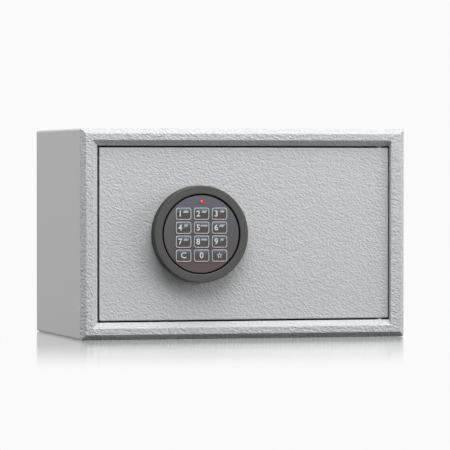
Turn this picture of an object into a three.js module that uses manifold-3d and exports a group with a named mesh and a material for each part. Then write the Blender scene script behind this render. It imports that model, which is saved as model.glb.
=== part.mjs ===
// Hotel in-room safe: a small sheet-steel cabinet with a recessed door. A round knob turns about a
// fixed keypad and, through a spiral cam, throws two bolts into the keeper on the left.
// Millimetres. X to the right, Y to the back, Z up; the origin is the centre of the base's underside.

import * as THREE from 'three';
import { mergeVertices } from 'three/addons/utils/BufferGeometryUtils.js';
import Module from 'manifold-3d';

const wasm = await Module();
wasm.setup();

// ---------------------------------------------------------------- driving dimensions

const WIDTH = 320;
const HEIGHT = 200;
const DEPTH = 200;
const SHEET = 2; // steel of the cabinet and the door
const GAP = 0.3; // left between pieces that touch
const EDGE_RADIUS = 2.5; // long edges of the wrapped cabinet

const LEFT = -WIDTH / 2;
const RIGHT = WIDTH / 2;
const FRONT = -DEPTH / 2;
const BACK = DEPTH / 2;
const MID = HEIGHT / 2;

const BEVEL = 5; // the front frame's bevels, in and back
const RAIL = 16.5; // width of the top and bottom rails
const LATCH_STILE = 17; // width of the left stile
const HINGE_STILE = 14.5; // width of the right stile, which has no inner bevel
const BEND = 1.5; // bend radius of the pressed frame
const RETURN_BACK = FRONT + 13.3; // rear edge of the frame's return flange

const DOOR_LEFT = LEFT + LATCH_STILE + 1.5;
const DOOR_RIGHT = RIGHT - HINGE_STILE - 0.8;
const DOOR_BOTTOM = RAIL + 1.5;
const DOOR_TOP = HEIGHT - RAIL - 1.5;
const DOOR_FACE = FRONT + BEVEL;
const DOOR_BACK = DOOR_FACE + 8;
const DOOR_EDGE = 1.2; // rounding round the door's face
const DOOR_INSIDE = DOOR_FACE + SHEET;

const HINGE = { x: DOOR_RIGHT - 8.4, y: DOOR_FACE + 4, pin: 2 };

const KNOB = {
  x: -45.4,
  z: MID,
  radius: 46,
  bore: 38.1, // the keypad stands in this bore
  back: DOOR_FACE - 1.2,
  depth: 13.3,
  floor: 2.5,
  chamfer: 1.5,
};
const KNOB_FACE = KNOB.back - KNOB.depth;
const SLEEVE = { inner: 10.8, outer: 13, flange: 18, flangeDepth: 1.8, back: -77.6, flats: 11.2 };
const BUSH = { outer: 15.5, flange: 20, flangeDepth: 2.2 };
const POST = { inner: 8, outer: 10.2, back: -66 };
const NUT = { radius: 15, front: -71.2, back: -67 };
const KEYPAD = { radius: 37, back: KNOB.back - 5, face: KNOB_FACE + 0.5, plate: 1.4, wall: 2 };
const KEY = {
  width: 15.2,
  height: 11.7,
  radius: 2,
  pitchX: 17.6,
  pitchZ: 13.2,
  topRow: 19.3, // from the knob's axis up to the middle of the top row
  proud: 0.9,
  depth: 3.6,
};
const LED = { radius: 1.5, rise: 30.8 };

const CAM = { front: -83, back: -80, radius: 43, start: 21, throw: 16, slot: 3.4 };
const LIGHTENING = { radius: 8, reach: 29, angles: [-20, -70, -120] };
const BAR = { front: -79.5, back: -76.5, arm: 22, tab: 10 };
const DRIVE_PIN = { radius: 3, head: 5, headDepth: 1.7 };
const BOLT = { radius: 8, y: -74, spread: 40, tip: -133, heel: -95, spigot: 4 };
const STRIKE = { right: -136, back: -62, foot: 22, notch: 9.4 };
const STOP = { left: -130, right: 122, height: 24 };
const GUIDE = { left: -118, foot: 16, back: -62, low: 44, high: 156 };
const BRIDGE = { left: -60, right: -32, low: 44, high: 156, front: -73.5, foot: 10 };
const CASE = {
  left: -131,
  right: 126,
  bottom: 30,
  top: 170,
  back: -52,
  sheet: 1.5,
  radius: 6,
  post: 5,
  postInset: 9,
};
const LOCK = { x: -78, z: 126, plunger: 3, halfWidth: 12, halfHeight: 13, front: -71, bore: -57 };
const CELL = { radius: 7.1, length: 50, pitch: 15, x: 75, y: -62.5, count: 4 };
const TRAY = { wall: 1.5, spare: 5 };
const COVER = { halfWidth: 37, window: 33, sheet: 2 };
const BOARD = { left: -12, right: 34, low: 124, high: 164, front: -62, sheet: 1.6 };
const ANCHOR = { radius: 6, floorX: 90, floorY: 30, rearX: 90 };
const MAT = { inset: 6, front: -60, thickness: 3, relief: 4 };
const STUD = { x: 2, radius: 3, foot: 6, head: 5.5 };
const RESET = { x: 20, z: 150, radius: 3.5, flange: 5.2, proud: 1.8 };

// ---------------------------------------------------------------- finishes

const finish = (color, roughness, metalness = 0) => ({ color, roughness, metalness });
const STRUCTURED_PAINT = finish(0xbdbfc0, 0.55);
const SMOOTH_PAINT = finish(0xababab, 0.45);
const KNOB_PLASTIC = finish(0x55585a, 0.45);
const KEYPAD_FILM = finish(0x5f5c64, 0.35);
const KEY_PLASTIC = finish(0x45403f, 0.15);
const BRIGHT_STEEL = finish(0xc9ccd0, 0.25, 1);
const ZINC = finish(0xa9abaa, 0.4, 1);
const BLACK_PLASTIC = finish(0x1c1d1f, 0.5);
const WHITE_NYLON = finish(0xdfe0dc, 0.5);
const BOARD_GREEN = finish(0x1f5a38, 0.5);
const FELT = finish(0x2c2f36, 0.95);
const RED_LENS = finish(0xf04450, 0.2);
const BRASS = finish(0xb59a55, 0.3, 1);

// ---------------------------------------------------------------- solids

// Turns a three.js geometry into a closed solid, facing out whichever way it was drawn.
function solid(geometry) {
  const bare = geometry.clone();
  bare.deleteAttribute('normal');
  bare.deleteAttribute('uv');
  const merged = mergeVertices(bare, 1e-4);
  const points = merged.attributes.position.array;
  const faces = [];
  let volume = 0;
  const corners = [new THREE.Vector3(), new THREE.Vector3(), new THREE.Vector3()];
  for (let i = 0; i < merged.index.count; i += 3) {
    const face = [0, 1, 2].map((k) => merged.index.getX(i + k));
    if (new Set(face).size < 3) continue;
    face.forEach((vertex, k) => corners[k].fromArray(points, 3 * vertex));
    volume += corners[0].dot(corners[1].clone().cross(corners[2]));
    faces.push(face);
  }
  if (volume < 0) faces.forEach((face) => face.reverse());
  return new wasm.Manifold(
    new wasm.Mesh({
      numProp: 3,
      vertProperties: Float32Array.from(points),
      triVerts: Uint32Array.from(faces.flat()),
    }),
  );
}

const join = (...solids) => solids.reduce((whole, next) => whole.add(next));
const cut = (body, ...tools) => tools.reduce((rest, tool) => rest.subtract(tool), body);

const safe = new THREE.Group();

function piece(name, body, look) {
  const mesh = body.getMesh();
  const geometry = new THREE.BufferGeometry();
  geometry.setAttribute('position', new THREE.BufferAttribute(Float32Array.from(mesh.vertProperties), 3));
  geometry.setIndex(new THREE.BufferAttribute(Uint32Array.from(mesh.triVerts), 1));
  const node = new THREE.Mesh(geometry, new THREE.MeshStandardMaterial({ ...look, flatShading: true }));
  node.name = name;
  safe.add(node);
}

// ---------------------------------------------------------------- outlines

function roundedRect(x0, y0, x1, y1, radius) {
  const shape = new THREE.Shape();
  shape.absarc(x1 - radius, y1 - radius, radius, 0, Math.PI / 2);
  shape.absarc(x0 + radius, y1 - radius, radius, Math.PI / 2, Math.PI);
  shape.absarc(x0 + radius, y0 + radius, radius, Math.PI, 1.5 * Math.PI);
  shape.absarc(x1 - radius, y0 + radius, radius, 1.5 * Math.PI, 2 * Math.PI);
  shape.closePath();
  return shape;
}

// A stadium whose straight run goes from x0 to x1 between the centres of its round ends.
function stadium(x0, x1, y, radius) {
  const shape = new THREE.Shape();
  shape.absarc(x1, y, radius, -Math.PI / 2, Math.PI / 2);
  shape.absarc(x0, y, radius, Math.PI / 2, 1.5 * Math.PI);
  shape.closePath();
  return shape;
}

// Rounds the inner corners of an open polyline with arcs of one radius.
function bend(points, radius, steps = 3) {
  const out = [points[0]];
  for (let i = 1; i < points.length - 1; i += 1) {
    const corner = points[i];
    const before = points[i - 1].clone().sub(corner).normalize();
    const after = points[i + 1].clone().sub(corner).normalize();
    const half = Math.acos(before.dot(after)) / 2;
    const reach = radius / Math.tan(half);
    const inward = before.clone().add(after).normalize();
    const centre = inward.multiplyScalar(radius / Math.sin(half)).add(corner);
    const start = before.multiplyScalar(reach).add(corner).sub(centre);
    const end = after.multiplyScalar(reach).add(corner).sub(centre);
    const sweep = Math.atan2(start.x * end.y - start.y * end.x, start.dot(end));
    for (let k = 0; k <= steps; k += 1) {
      out.push(start.clone().rotateAround(new THREE.Vector2(), (sweep * k) / steps).add(centre));
    }
  }
  out.push(points[points.length - 1]);
  return out;
}

// ---------------------------------------------------------------- ways of making a solid

// Extrudes an outline drawn in X and Z from the plane y0 back to the plane y1.
function alongY(shape, y0, y1, curveSegments = 4) {
  const geometry = new THREE.ExtrudeGeometry(shape, { depth: y1 - y0, bevelEnabled: false, curveSegments });
  return solid(geometry.rotateX(Math.PI / 2).translate(0, y1, 0));
}

// Extrudes an outline drawn in X and Y from the plane z0 up to the plane z1.
function alongZ(shape, z0, z1, curveSegments = 4) {
  const geometry = new THREE.ExtrudeGeometry(shape, { depth: z1 - z0, bevelEnabled: false, curveSegments });
  return solid(geometry.translate(0, 0, z0));
}

function block(x0, y0, z0, x1, y1, z1) {
  const geometry = new THREE.BoxGeometry(x1 - x0, y1 - y0, z1 - z0);
  return solid(geometry.translate((x0 + x1) / 2, (y0 + y1) / 2, (z0 + z1) / 2));
}

const lathe = (profile, segments) =>
  new THREE.LatheGeometry(profile.map(([r, t]) => new THREE.Vector2(r, t)), segments);

// Turned pieces: each profile is a list of [radius, position along the axis].
const turnedY = (profile, x, z, segments = 32) => solid(lathe(profile, segments).translate(x, 0, z));
const turnedX = (profile, y, z, segments = 20) =>
  solid(lathe(profile, segments).rotateZ(-Math.PI / 2).translate(0, y, z));
const turnedZ = (profile, x, y, segments = 20) =>
  solid(lathe(profile, segments).rotateX(Math.PI / 2).translate(x, y, 0));

const rod = (radius, from, to) => [[0, from], [radius, from], [radius, to], [0, to]];
const tube = (inner, outer, from, to) => [
  [inner, from],
  [outer, from],
  [outer, to],
  [inner, to],
  [inner, from],
];
const mirroredUp = (body) => body.mirror([0, 0, 1]).translate([0, 0, HEIGHT]);
const onBothSides = (make) => [make(-1), make(1)];

// ---------------------------------------------------------------- cabinet

function cabinetWrap() {
  const section = roundedRect(LEFT, 0, RIGHT, HEIGHT, EDGE_RADIUS);
  section.holes.push(roundedRect(LEFT + SHEET, SHEET, RIGHT - SHEET, HEIGHT - SHEET, EDGE_RADIUS - SHEET));
  const anchors = onBothSides((side) =>
    turnedZ(rod(ANCHOR.radius, -1, SHEET + 1), side * ANCHOR.floorX, ANCHOR.floorY));
  return cut(alongY(section, DOOR_FACE + GAP, BACK, 3), ...anchors);
}

function rearWall() {
  const inset = SHEET + GAP;
  const outline = roundedRect(LEFT + inset, inset, RIGHT - inset, HEIGHT - inset, 1);
  const panel = alongY(outline, BACK - SHEET, BACK, 1);
  const anchors = onBothSides((side) =>
    turnedY(rod(ANCHOR.radius, BACK - SHEET - 1, BACK + 1), side * ANCHOR.rearX, MID, 24));
  return cut(panel, ...anchors);
}

// The frame's section, as (distance in from the outside, distance back from the front). The skin bevels
// out, runs flat and bevels in to the opening; the hidden side follows it one sheet further in.
function frameSection() {
  const point = (inset, depth) => new THREE.Vector2(inset, depth);
  const flatEnd = RAIL - BEVEL - 0.5;
  const depth = RETURN_BACK - FRONT;
  const skin = bend(
    [point(0, BEVEL), point(BEVEL, 0), point(flatEnd, 0), point(RAIL, BEVEL), point(RAIL, depth)],
    BEND,
  );
  const slope = SHEET * Math.tan(Math.PI / 8);
  const hidden = [
    point(RAIL - SHEET, depth),
    point(RAIL - SHEET, BEVEL + slope),
    point(flatEnd - slope, SHEET),
    point(BEVEL + slope, SHEET),
    point(SHEET * Math.SQRT2, BEVEL),
  ];
  return { skin, hidden };
}

// How far in the hinge side's skin is at a depth: a straight wall with one rounded edge.
function hingeWall(depth) {
  const radius = 1;
  const drop = Math.max(0, radius - depth);
  return HINGE_STILE - radius + Math.sqrt(radius ** 2 - drop ** 2);
}

// One pressed section mitred round the four sides; the hinge side has no inner bevel.
function frontFrame() {
  const { skin, hidden } = frameSection();
  const opening = (RAIL + BEVEL) / 2;
  const around = (p, hingeInset) => {
    const inner = p.x > opening;
    const left = LEFT + p.x + (inner ? LATCH_STILE - RAIL : 0);
    const right = RIGHT - (inner ? hingeInset : p.x);
    const y = FRONT + p.y;
    return [left, y, p.x, right, y, p.x, right, y, HEIGHT - p.x, left, y, HEIGHT - p.x];
  };
  const sections = [
    ...skin.map((p) => around(p, hingeWall(p.y))),
    ...hidden.map((p) => around(p, HINGE_STILE - SHEET)),
  ];
  const faces = sections.flatMap((_, i) => {
    const near = 4 * i;
    const far = 4 * ((i + 1) % sections.length);
    return [0, 1, 2, 3].flatMap((k) => {
      const next = (k + 1) % 4;
      return [near + k, near + next, far + next, near + k, far + next, far + k];
    });
  });
  const ring = new THREE.BufferGeometry();
  ring.setAttribute('position', new THREE.Float32BufferAttribute(sections.flat(), 3));
  ring.setIndex(faces);
  const outer = alongY(roundedRect(LEFT, 0, RIGHT, HEIGHT, EDGE_RADIUS), FRONT - 1, 0, 3);
  const bushHole = turnedZ(rod(HINGE.pin + 1.4, -1, HEIGHT + 1), HINGE.x, HINGE.y);
  return cut(solid(ring).intersect(outer), bushHole);
}

// An angle welded behind the left stile: one leg stops the door, the other is notched for the bolts.
function strikePlate() {
  const { right, back, foot, notch } = STRIKE;
  const front = RETURN_BACK + GAP;
  const leg = block(LEFT + SHEET + GAP, front, foot, right, front + SHEET, HEIGHT - foot);
  const keeper = block(right - SHEET, front + SHEET / 2, foot, right, back, HEIGHT - foot);
  const notches = onBothSides((side) => {
    const z = MID + side * BOLT.spread;
    return block(right - 5, BOLT.y - notch, z - notch, right + 5, 0, z + notch);
  });
  return cut(join(leg, keeper), ...notches);
}

function doorStop() {
  const front = RETURN_BACK + GAP;
  return alongY(roundedRect(STOP.left, SHEET + GAP, STOP.right, STOP.height, 2), front, front + SHEET, 2);
}

function floorMat() {
  const { inset, front, thickness, relief } = MAT;
  const low = SHEET + GAP;
  const outline = roundedRect(LEFT + inset, front, RIGHT - inset, BACK - inset, 4);
  const mat = alongZ(outline, low, low + thickness, 2);
  const holes = onBothSides((side) =>
    turnedZ(rod(ANCHOR.radius + relief, 0, 10), side * ANCHOR.floorX, ANCHOR.floorY));
  return cut(mat, ...holes);
}

// Press-in caps that close the anchor holes until the safe is screwed down. Each head lies on the sheet's
// inner face and its shank fills the hole; towards is 1 where the inside is further along the axis.
function plugProfile(face, towards) {
  const at = (distance) => face + distance * towards;
  const shank = ANCHOR.radius - GAP;
  const head = ANCHOR.radius + 2;
  return [
    [0, at(-1.9)],
    [shank, at(-1.9)],
    [shank, at(0)],
    [head, at(0)],
    [head, at(0.8)],
    [head - 1.2, at(1.6)],
    [0, at(1.6)],
  ];
}

const floorPlug = (side) =>
  turnedZ(plugProfile(SHEET + GAP, 1), side * ANCHOR.floorX, ANCHOR.floorY, 16);
const rearPlug = (side) =>
  turnedY(plugProfile(BACK - SHEET - GAP, -1), side * ANCHOR.rearX, MID, 16);

// ---------------------------------------------------------------- hinges

// A top-hat bush for the lower hinge. Its collar, inside the return flange, is flat at the frame's bend.
function hingeBush() {
  const { pin } = HINGE;
  const top = RAIL;
  const body = turnedZ(
    [
      [pin + GAP, top - 3.6],
      [pin + 2.4, top - 3.6],
      [pin + 2.4, top - SHEET - GAP],
      [pin + 1.1, top - SHEET - GAP],
      [pin + 1.1, top + 0.5],
      [pin + GAP, top + 0.5],
      [pin + GAP, top - 3.6],
    ],
    HINGE.x,
    HINGE.y,
  );
  return cut(body, block(HINGE.x - 10, FRONT, 0, HINGE.x + 10, HINGE.y - 2.9, top - SHEET));
}

function hingePin() {
  const { pin } = HINGE;
  const low = RAIL - 3;
  const high = RAIL + 15.5;
  const profile = [[0, low], [pin - 0.4, low], [pin, low + 0.6], [pin, high], [0, high]];
  return turnedZ(profile, HINGE.x, HINGE.y);
}

function hingeBlock() {
  const low = DOOR_BOTTOM + SHEET + GAP;
  const body = block(HINGE.x - 8, DOOR_INSIDE + GAP, low, HINGE.x + 6, HINGE.y + 6.5, low + 13);
  return cut(body, turnedZ(rod(HINGE.pin + GAP, 0, low + 20), HINGE.x, HINGE.y));
}

// ---------------------------------------------------------------- door

// A pan: a face with rounded edges and a return flange all round.
function doorPanel() {
  const depth = 12;
  const edge = DOOR_EDGE;
  const outline = roundedRect(
    DOOR_LEFT + edge,
    DOOR_BOTTOM + edge,
    DOOR_RIGHT - edge,
    DOOR_TOP - edge,
    0.5,
  );
  const geometry = new THREE.ExtrudeGeometry(outline, {
    depth,
    bevelEnabled: true,
    bevelThickness: edge,
    bevelSize: edge,
    bevelSegments: 3,
    curveSegments: 2,
  });
  const slab = solid(geometry.rotateX(Math.PI / 2).translate(0, DOOR_FACE + edge + depth, 0));
  const hollow = block(
    DOOR_LEFT + SHEET,
    DOOR_INSIDE,
    DOOR_BOTTOM + SHEET,
    DOOR_RIGHT - SHEET,
    0,
    DOOR_TOP - SHEET,
  );
  const behind = block(LEFT, DOOR_BACK, 0, RIGHT, 0, HEIGHT);
  const spindle = turnedY(rod(BUSH.outer + GAP, DOOR_FACE - 1, DOOR_INSIDE + 1), KNOB.x, KNOB.z);
  const pins = turnedZ(rod(HINGE.pin + GAP, 0, HEIGHT), HINGE.x, HINGE.y);
  return cut(slab, hollow, behind, spindle, pins);
}

// The plastic bearing that the knob's sleeve turns in. Its flange lies on the door's inner face.
function spindleBush() {
  const inner = SLEEVE.outer + 0.08;
  const front = DOOR_FACE - 0.6;
  const seat = DOOR_INSIDE + GAP;
  const profile = [
    [inner, front],
    [BUSH.outer, front],
    [BUSH.outer, seat],
    [BUSH.flange, seat],
    [BUSH.flange, seat + BUSH.flangeDepth],
    [inner, seat + BUSH.flangeDepth],
    [inner, front],
  ];
  return turnedY(profile, KNOB.x, KNOB.z);
}

// ---------------------------------------------------------------- knob

function knobRing() {
  const { radius, bore, back, floor, chamfer } = KNOB;
  const lip = 0.8;
  const hub = SLEEVE.outer + GAP;
  const profile = [
    [hub, back],
    [radius - 1, back],
    [radius, back - 1],
    [radius, KNOB_FACE + chamfer],
    [radius - 0.45, KNOB_FACE + 0.45],
    [radius - chamfer, KNOB_FACE],
    [bore + lip, KNOB_FACE],
    [bore, KNOB_FACE + lip],
    [bore, back - floor],
    [hub, back - floor],
    [hub, back],
  ];
  return turnedY(profile, KNOB.x, KNOB.z, 64);
}

// The sleeve's flange lies on the ring's floor; two flats at its rear end drive the cam.
function spindleSleeve() {
  const { inner, outer, flange, flangeDepth, back, flats } = SLEEVE;
  const seat = KNOB.back - KNOB.floor - GAP;
  const body = turnedY(
    [
      [inner, seat - flangeDepth],
      [flange, seat - flangeDepth],
      [flange, seat],
      [outer, seat],
      [outer, back],
      [inner, back],
      [inner, seat - flangeDepth],
    ],
    KNOB.x,
    KNOB.z,
  );
  const past = outer + 1;
  const upper = block(KNOB.x - past, CAM.front - GAP, KNOB.z + flats, KNOB.x + past, 0, KNOB.z + past);
  return cut(body, upper, mirroredUp(upper));
}

// A groove of one width along a curve: both of its sides, joined by round ends.
function groove(centre, halfWidth, steps) {
  const origin = new THREE.Vector2();
  const across = (t, turn = 0) => {
    const heading = centre(t + 1e-3).sub(centre(t - 1e-3)).normalize();
    return heading.rotateAround(origin, Math.PI / 2 - turn).multiplyScalar(halfWidth);
  };
  const side = (turn) =>
    Array.from({ length: steps + 1 }, (_, i) => centre(i / steps).add(across(i / steps, turn)));
  const end = (t, turn) =>
    Array.from({ length: 7 }, (_, i) => centre(t).add(across(t, turn + (Math.PI * (i + 1)) / 8)));
  return new THREE.Shape([...side(0), ...end(1, 0), ...side(Math.PI).reverse(), ...end(0, Math.PI)]);
}

// The slot's centre line is a spiral of constant lead, so a quarter turn draws the bar in evenly.
function camSlot() {
  const centre = (t) => {
    const angle = Math.PI - (t * Math.PI) / 2;
    const reach = CAM.start + CAM.throw * t;
    return new THREE.Vector2(reach * Math.cos(angle), reach * Math.sin(angle));
  };
  return groove(centre, CAM.slot, 14);
}

function boltCam() {
  const { front, back, radius } = CAM;
  const disc = turnedY(rod(radius, front, back), KNOB.x, KNOB.z, 48);
  const flats = SLEEVE.flats + GAP;
  const keyed = turnedY(rod(SLEEVE.outer + GAP, front - 1, back + 1), KNOB.x, KNOB.z).intersect(
    block(KNOB.x - radius, front - 1, KNOB.z - flats, KNOB.x + radius, back + 1, KNOB.z + flats),
  );
  const slot = alongY(camSlot(), front - 1, back + 1).translate([KNOB.x, 0, KNOB.z]);
  const lightening = LIGHTENING.angles.map((degrees) => {
    const angle = THREE.MathUtils.degToRad(degrees);
    const x = KNOB.x + LIGHTENING.reach * Math.cos(angle);
    const z = KNOB.z + LIGHTENING.reach * Math.sin(angle);
    return turnedY(rod(LIGHTENING.radius, front - 1, back + 1), x, z, 20);
  });
  return cut(disc, keyed, slot, ...lightening);
}

// An open ring that snaps behind the cam.
function camCirclip() {
  const front = CAM.back + GAP;
  const ring = turnedY(tube(SLEEVE.outer + 0.1, SLEEVE.outer + 2, front, front + 1), KNOB.x, KNOB.z, 28);
  return cut(ring, block(KNOB.x - 5, front - 1, 0, KNOB.x + 5, front + 2, KNOB.z));
}

// ---------------------------------------------------------------- keypad

// A shallow dish on a hollow post. The film lies on its rim, and the corner keys reach into its wall.
function keypadHousing() {
  const { radius, back, face, plate, wall } = KEYPAD;
  const rim = face + plate + GAP;
  const body = turnedY(
    [
      [POST.inner, POST.back],
      [POST.outer, POST.back],
      [POST.outer, back],
      [radius, back],
      [radius, rim],
      [radius - wall, rim],
      [radius - wall, back - wall],
      [POST.inner, back - wall],
      [POST.inner, POST.back],
    ],
    KNOB.x,
    KNOB.z,
    48,
  );
  const reliefs = [0, 2].flatMap((column) =>
    [0, 3].map((row) => alongY(keyOutline(column, row, 2 * GAP), rim - 1, rim + 3.4, 1)));
  return cut(body, ...reliefs);
}

function keyOutline(column, row, grow) {
  const x = KNOB.x + (column - 1) * KEY.pitchX;
  const z = KNOB.z + KEY.topRow - row * KEY.pitchZ;
  const halfWidth = KEY.width / 2 + grow;
  const halfHeight = KEY.height / 2 + grow;
  return roundedRect(x - halfWidth, z - halfHeight, x + halfWidth, z + halfHeight, KEY.radius + grow);
}

function keypadFace() {
  const { radius, face, plate } = KEYPAD;
  const edge = 0.5;
  const disc = turnedY(
    [[0, face], [radius - edge, face], [radius, face + edge], [radius, face + plate], [0, face + plate]],
    KNOB.x,
    KNOB.z,
    48,
  );
  const openings = [];
  for (let row = 0; row < 4; row += 1) {
    for (let column = 0; column < 3; column += 1) {
      openings.push(alongY(keyOutline(column, row, GAP), face - 1, face + plate + 1, 1));
    }
  }
  const lens = turnedY(rod(LED.radius + GAP, face - 1, face + plate + 1), KNOB.x, KNOB.z + LED.rise, 16);
  return cut(disc, ...openings, lens);
}

function key(column, row) {
  const pillow = 0.7;
  const depth = KEY.depth - 2 * pillow;
  const geometry = new THREE.ExtrudeGeometry(keyOutline(column, row, -pillow), {
    depth,
    bevelEnabled: true,
    bevelThickness: pillow,
    bevelSize: pillow,
    bevelSegments: 2,
    curveSegments: 1,
  });
  const back = KEYPAD.face - KEY.proud + KEY.depth - pillow;
  return solid(geometry.rotateX(Math.PI / 2).translate(0, back, 0));
}

function keypadBoard() {
  const front = KEYPAD.face + 4.2;
  return turnedY(tube(6, KEYPAD.radius - KEYPAD.wall - GAP, front, front + 1.2), KNOB.x, KNOB.z, 32);
}

function statusLens() {
  const { face } = KEYPAD;
  const { radius, rise } = LED;
  const profile = [
    [0, face + 3.6],
    [radius, face + 3.6],
    [radius, face - 0.2],
    [radius * 0.7, face - 0.7],
    [0, face - 0.9],
  ];
  return turnedY(profile, KNOB.x, KNOB.z + rise, 16);
}

// From the keypad's board, back through the hollow post and over to the main board.
function keypadCable() {
  const route = new THREE.CatmullRomCurve3(
    [
      [KNOB.x, -102.5, KNOB.z],
      [KNOB.x, -80, KNOB.z],
      [KNOB.x, -66, KNOB.z],
      [KNOB.x + 3, -59.5, KNOB.z + 2],
      [KNOB.x + 16, -57, KNOB.z + 14],
      [KNOB.x + 36, -56.2, KNOB.z + 29],
      [KNOB.x + 46, -56, KNOB.z + 35],
      [KNOB.x + 49, -57.8, KNOB.z + 36],
      [KNOB.x + 49, -59.8, KNOB.z + 36],
    ].map(([x, y, z]) => new THREE.Vector3(x, y, z)),
  );
  const section = new THREE.Shape().absarc(0, 0, 1.75, 0, 2 * Math.PI);
  return solid(new THREE.ExtrudeGeometry(section, { steps: 22, extrudePath: route, curveSegments: 4 }));
}

// ---------------------------------------------------------------- boltwork

// A plate with a tab for each bolt, slotted for the knob's sleeve and the guide stud.
function boltBar() {
  const { front, back, arm, tab } = BAR;
  const along = (outline, segments) => alongY(outline, front, back, segments);
  const through = (outline, segments) => alongY(outline, front - 1, back + 1, segments);
  const bore = (radius, x, z) => turnedY(rod(radius, front - 1, back + 1), x, z, 16);

  const left = BOLT.heel + GAP;
  const reach = BOLT.spread + tab;
  const spine = along(roundedRect(left, MID - reach, -50, MID + reach, 3), 2);
  const tongue = along(roundedRect(-60, MID - arm, 26, MID + arm, 6), 2);
  const tabs = onBothSides((side) => {
    const z = MID + side * BOLT.spread;
    return block(left, front, z - tab, left + SHEET, -65, z + tab);
  });
  const spigots = onBothSides((side) =>
    turnedX(rod(BOLT.spigot + GAP, left - 1, left + 4), BOLT.y, MID + side * BOLT.spread));
  const slots = [
    through(stadium(KNOB.x, KNOB.x + CAM.throw, KNOB.z, SLEEVE.outer + 2.7), 8),
    through(stadium(STUD.x, STUD.x + CAM.throw, MID, STUD.radius + GAP), 4),
  ];
  const pinHole = bore(DRIVE_PIN.radius + GAP, KNOB.x - CAM.start, KNOB.z);
  const plungerHoles = [0, CAM.throw].map((shift) => bore(LOCK.plunger + 0.5, LOCK.x + shift, LOCK.z));
  return cut(join(spine, tongue, ...tabs), ...spigots, ...slots, pinHole, ...plungerHoles);
}

function bolt(side) {
  const { radius, tip, heel, spigot } = BOLT;
  const profile = [
    [0, tip],
    [radius - 1.5, tip],
    [radius, tip + 1.5],
    [radius, heel],
    [spigot, heel],
    [spigot, heel + 4],
    [0, heel + 4],
  ];
  return turnedX(profile, BOLT.y, MID + side * BOLT.spread, 24);
}

// Runs in the cam's slot, riveted behind the bar.
function drivePin() {
  const { radius, head, headDepth } = DRIVE_PIN;
  const seat = BAR.back + GAP;
  const profile = [
    [0, CAM.front],
    [radius, CAM.front],
    [radius, seat],
    [head, seat],
    [head, seat + headDepth],
    [0, seat + headDepth],
  ];
  return turnedY(profile, KNOB.x - CAM.start, KNOB.z, 16);
}

// A bent bracket on the door's back, with a bearing hole for each bolt.
function boltGuide() {
  const { left, foot, back, low, high } = GUIDE;
  const seat = DOOR_INSIDE + GAP;
  const base = alongY(roundedRect(left, low, left + foot, high, 2), seat, seat + SHEET, 1);
  const upright = block(left, seat, low, left + SHEET, back, high);
  const holes = onBothSides((side) =>
    turnedX(rod(BOLT.radius + 0.4, left - 5, left + 5), BOLT.y, MID + side * BOLT.spread, 24));
  return cut(join(base, upright), ...holes);
}

// A shouldered stud on the door that the bar slides along.
function guideStud() {
  const seat = DOOR_INSIDE + GAP;
  const head = BAR.back + GAP;
  const profile = [
    [0, seat],
    [STUD.foot, seat],
    [STUD.foot, seat + 3],
    [STUD.radius, seat + 3],
    [STUD.radius, head],
    [STUD.head, head],
    [STUD.head, head + 1.5],
    [0, head + 1.5],
  ];
  return turnedY(profile, STUD.x, MID, 16);
}

// A bridge over the bolt bar that holds the rear end of the keypad's post.
function postBracket() {
  const { left, right, low, high, front, foot } = BRIDGE;
  const seat = DOOR_INSIDE + GAP;
  const bridge = block(left, front, low, right, front + SHEET, high);
  const leg = block(left, seat, low, right, front + 1, low + SHEET);
  const base = block(left, seat, low - foot + SHEET, right, seat + SHEET, low + SHEET);
  const hole = turnedY(rod(POST.outer + GAP, front - 1, front + SHEET + 1), KNOB.x, KNOB.z);
  return cut(join(bridge, leg, base, mirroredUp(leg), mirroredUp(base)), hole);
}

function postNut() {
  const { radius, front, back } = NUT;
  const hexagon = turnedY(rod(radius, front, back), KNOB.x, KNOB.z, 6);
  return cut(hexagon, turnedY(rod(POST.outer + GAP, front - 1, back + 1), KNOB.x, KNOB.z));
}

// The folded cover on the door's back, with a screw post in each corner.
function boltworkCase() {
  const { left, right, bottom, top, back, sheet, radius, post, postInset } = CASE;
  const front = DOOR_INSIDE + GAP;
  const outline = (inset) =>
    roundedRect(left + inset, bottom + inset, right - inset, top - inset, radius - inset);
  const shell = alongY(outline(0), front, back, 3);
  const inside = alongY(outline(sheet), front - 1, back - sheet, 3);
  const boltHoles = onBothSides((side) =>
    turnedX(rod(BOLT.radius + 0.6, left - 5, left + 5), BOLT.y, MID + side * BOLT.spread));
  const { window } = COVER;
  const cellWindow = block(CELL.x - window, back - 5, MID - window, CELL.x + window, back + 5, MID + window);
  const resetHole = turnedY(rod(RESET.radius + 0.5, back - 5, back + 5), RESET.x, RESET.z, 24);
  const atCorners = (profile) =>
    [left + postInset, right - postInset].flatMap((x) =>
      [bottom + postInset, top - postInset].map((z) => turnedY(profile, x, z, 12)));
  const posts = atCorners(rod(post, front, back - sheet / 2));
  const screwHoles = atCorners(rod(post / 2, front - 1, back + 1));
  const walls = cut(shell, inside, ...boltHoles, cellWindow, resetHole);
  return cut(join(walls, ...posts), ...screwHoles);
}

// The solenoid's steel case, with a blind bore for the plunger.
function lockCase() {
  const { x, z, plunger, halfWidth, halfHeight, front, bore } = LOCK;
  const back = CASE.back - CASE.sheet - GAP;
  const body = block(x - halfWidth, front, z - halfHeight, x + halfWidth, back, z + halfHeight);
  return cut(body, turnedY(rod(plunger + 0.4, front - 1, bore), x, z, 24));
}

function lockPlunger() {
  const { x, z, plunger, bore } = LOCK;
  const tip = BAR.back + 0.6;
  const end = bore - 1;
  return turnedY([[0, tip], [plunger - 0.6, tip], [plunger, tip + 0.6], [plunger, end], [0, end]], x, z, 24);
}

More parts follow.
